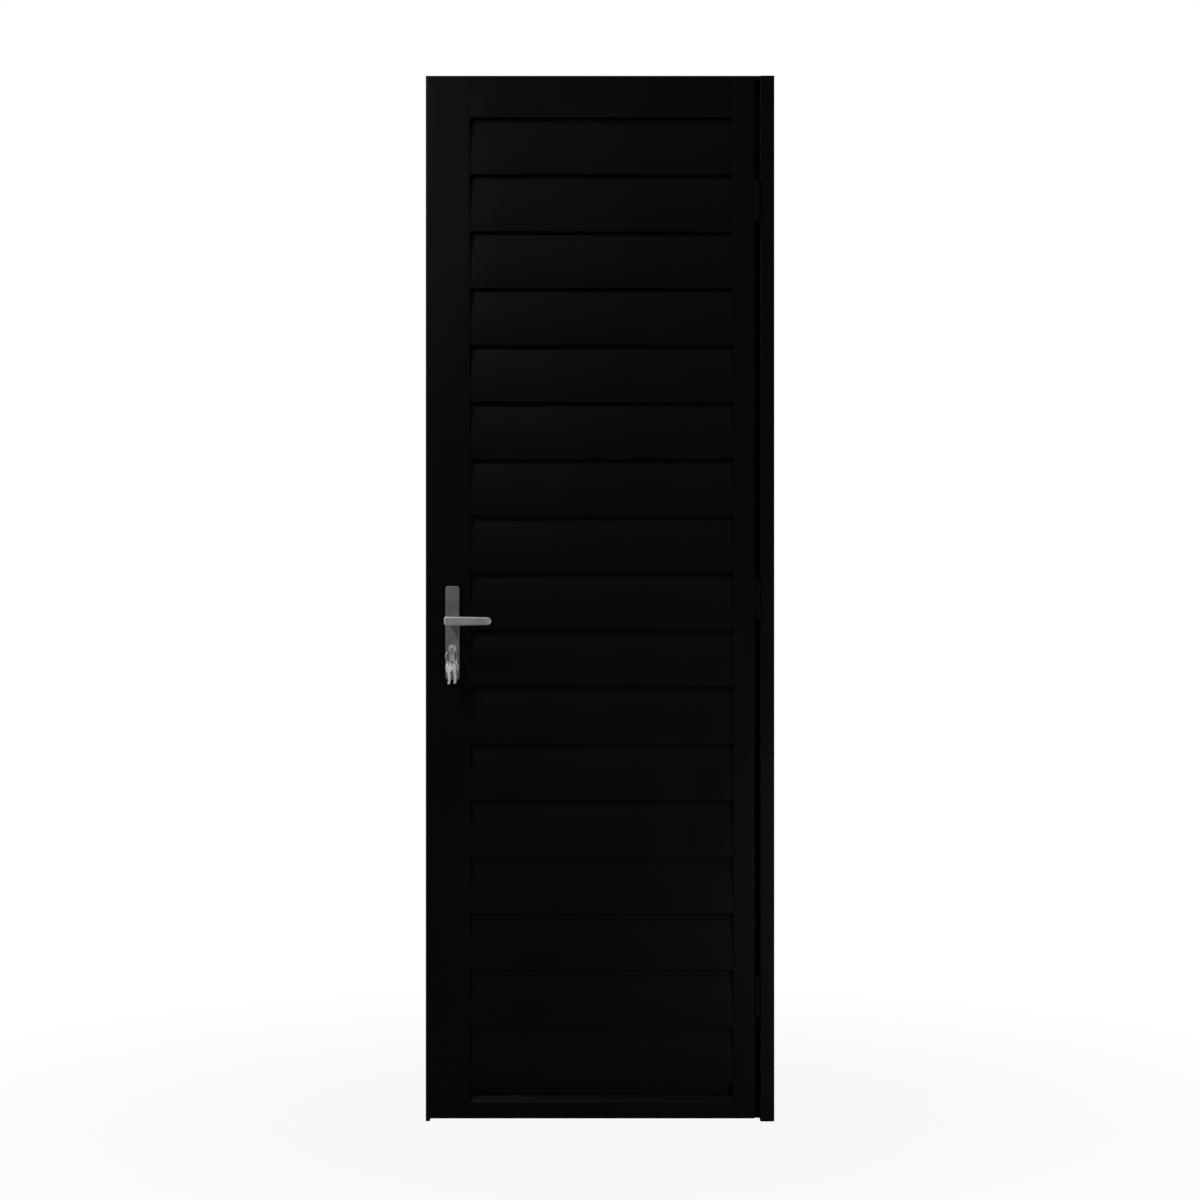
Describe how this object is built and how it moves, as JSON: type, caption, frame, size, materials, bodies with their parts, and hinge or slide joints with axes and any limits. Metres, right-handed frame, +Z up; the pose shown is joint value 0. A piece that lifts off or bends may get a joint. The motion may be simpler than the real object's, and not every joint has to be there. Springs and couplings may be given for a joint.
{
  "type": "louvred door",
  "caption": "Louvred aluminium door leaf with overlapping convex slats, hinged in a slim hollow frame, with lever handle, cylinder lock and keys.",
  "frame": {"origin": "on the hinge jamb's outer face, at floor level, midway through the frame's depth", "axes": "+X out of the hinge jamb's outer face, to the right seen from outside; +Y into the building; +Z up"},
  "size_m": [0.7, 0.14, 2.1],
  "materials": {
    "black_coating": "satin black powder coat on extruded aluminium",
    "black_steel": "satin black coat on steel",
    "satin_metal": "satin anodised",
    "bright_steel": "brushed",
    "nickel": "satin nickel plate on brass"
  },
  "bodies": {
    "door_frame": {"lock_jamb": "black_coating", "lock_stop": "black_coating", "hinge_jamb": "black_coating", "head": "black_coating", "head_stop": "black_coating", "strike_plate": "bright_steel", "hinge_frame_half_1": "black_steel", "hinge_frame_half_2": "black_steel", "hinge_frame_half_3": "black_steel"},
    "leaf": {"lock_stile": "black_coating", "hinge_stile": "black_coating", "top_rail": "black_coating", "bottom_rail": "black_coating", "slat_01": "black_coating", "slat_02": "black_coating", "slat_03": "black_coating", "slat_04": "black_coating", "slat_05": "black_coating", "slat_06": "black_coating", "slat_07": "black_coating", "slat_08": "black_coating", "slat_09": "black_coating", "slat_10": "black_coating", "slat_11": "black_coating", "slat_12": "black_coating", "slat_13": "black_coating", "slat_14": "black_coating", "slat_15": "black_coating", "slat_16": "black_coating", "slat_17": "black_coating", "hinge_leaf_half_1": "black_steel", "hinge_leaf_half_2": "black_steel", "hinge_leaf_half_3": "black_steel", "front_plate": "satin_metal", "back_plate": "satin_metal", "lock_cylinder": "nickel", "lock_faceplate": "bright_steel", "latch_bolt": "bright_steel", "dead_bolt": "bright_steel", "lock_key": "nickel", "key_ring": "nickel", "spare_key_1": "nickel", "spare_key_2": "nickel"},
    "lever": {"front_lever": "satin_metal", "back_lever": "satin_metal", "lever_spindle": "bright_steel"}
  },
  "joints": [
    {"name": "leaf_swing", "type": "hinge", "parent": "door_frame", "child": "leaf", "pos_m": [-0.034, -0.035, 1.05], "axis": [0, 0, 1], "range_deg": [0, 110]},
    {"name": "lever_turn", "type": "hinge", "parent": "leaf", "child": "lever", "pos_m": [-0.646, -0.02, 1.005], "axis": [0, 1, 0], "range_deg": [0, 40], "stiffness_Nm_per_rad": 0.8, "springref_deg": -34.38}
  ]
}
